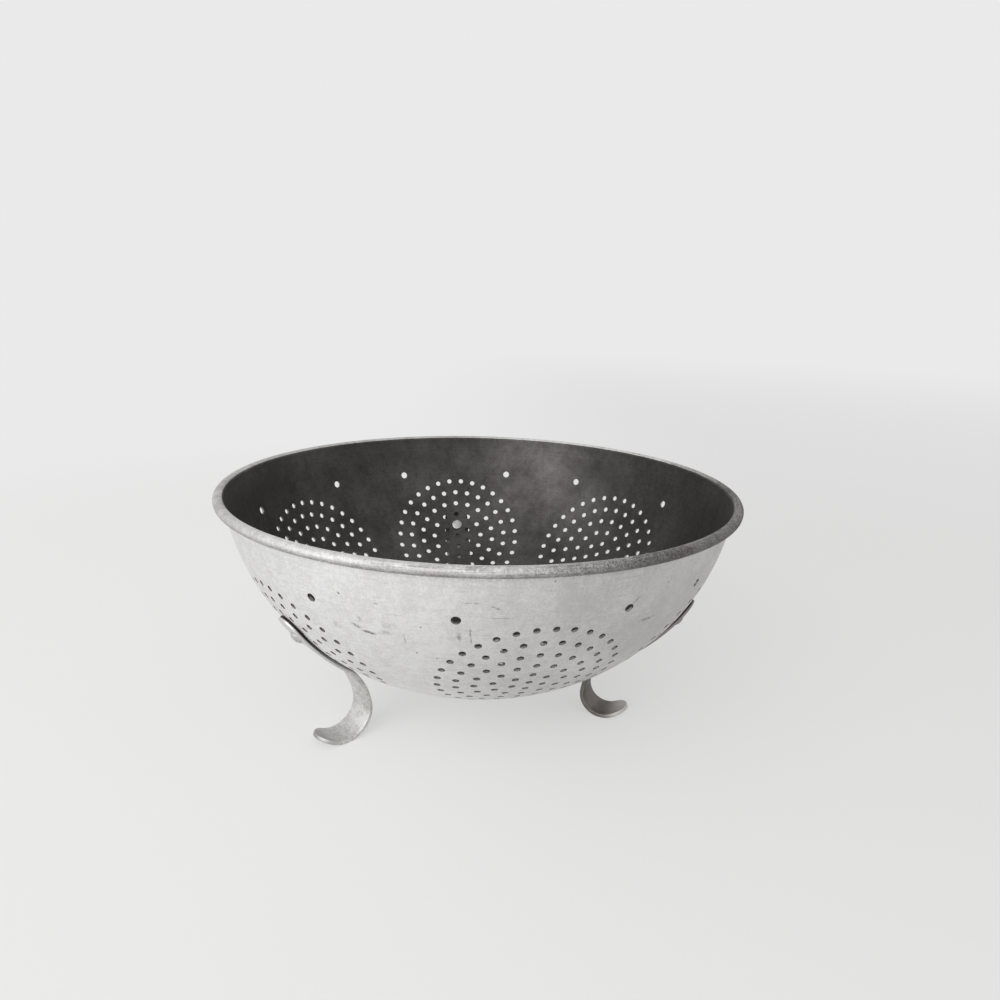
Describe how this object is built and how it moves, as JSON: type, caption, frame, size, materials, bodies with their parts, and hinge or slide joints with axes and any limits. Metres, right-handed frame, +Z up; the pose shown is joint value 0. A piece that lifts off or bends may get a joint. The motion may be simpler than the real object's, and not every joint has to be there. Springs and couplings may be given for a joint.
{
  "type": "footed colander",
  "caption": "Round pierced colander bowl of sheet aluminium with a rolled rim, holes grouped in rosettes, standing on curled strap feet held by rivets.",
  "frame": {"origin": "on the bowl's axis, at the level of the table", "axes": "+Z up along the bowl's axis; the pictured front looks along +Y, with +X to the right"},
  "size_m": [0.26, 0.2598, 0.115],
  "materials": {
    "bowl_sheet": "pressed sheet, dulled and scratched by use",
    "foot_strap": "bent strip, dulled and slightly darker than the bowl",
    "rivet_metal": "set rivet, dull"
  },
  "bodies": {
    "root": {"bowl": "bowl_sheet", "left_foot": "foot_strap", "right_foot": "foot_strap", "rear_foot": "foot_strap", "left_rivet": "rivet_metal", "right_rivet": "rivet_metal", "rear_rivet": "rivet_metal"}
  },
  "joints": []
}
